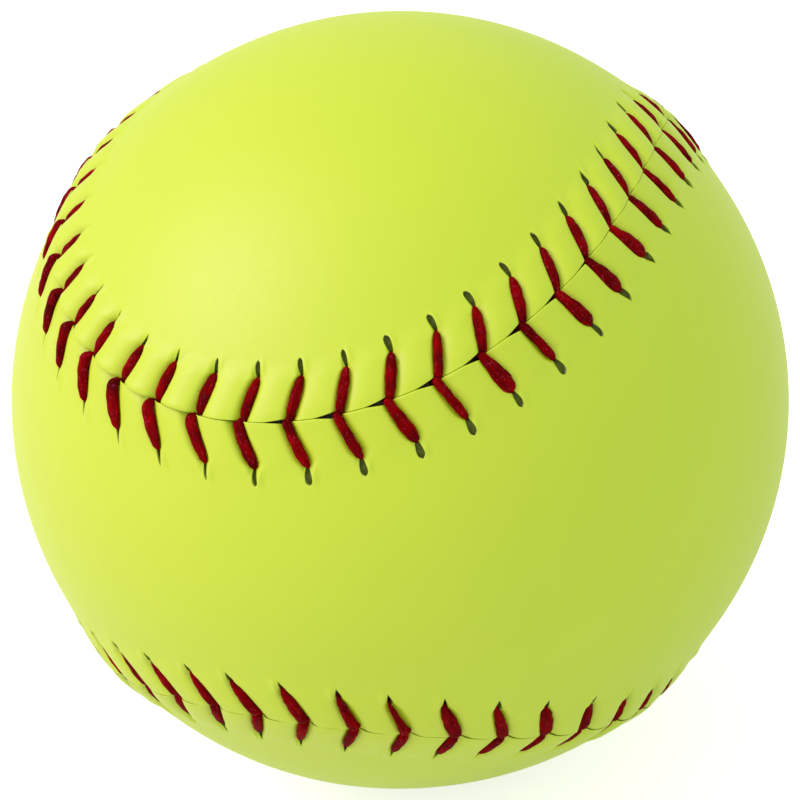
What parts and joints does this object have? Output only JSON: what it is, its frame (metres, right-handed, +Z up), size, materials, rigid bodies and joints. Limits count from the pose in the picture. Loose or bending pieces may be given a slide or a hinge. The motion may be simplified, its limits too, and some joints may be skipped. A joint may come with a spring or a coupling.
{
  "type": "softball",
  "caption": "Stitched softball: a moulded core under dog-bone cover panels of optic yellow synthetic leather, laced edge to edge with red thread.",
  "frame": {"origin": "centre of the ball", "axes": "+Y from the waist of the front panel to the waist of the back panel, +X through a lobe of the front panel, +Z up through a lobe of the back panel"},
  "size_m": [0.097, 0.097, 0.097],
  "materials": {
    "core": "moulded polyurethane foam, matte",
    "cement": "dried brushed-on adhesive, dull amber",
    "backing": "non-woven felt, matte",
    "cover": "optic yellow synthetic leather, fine pebble grain, soft satin",
    "thread": "red waxed twisted thread, dull sheen"
  },
  "bodies": {
    "root": {"core": "core", "cement_coat": "cement", "front_panel_backing": "backing", "back_panel_backing": "backing", "front_panel_face": "cover", "back_panel_face": "cover", "first_thread_strand": "thread", "second_thread_strand": "thread"}
  },
  "joints": []
}
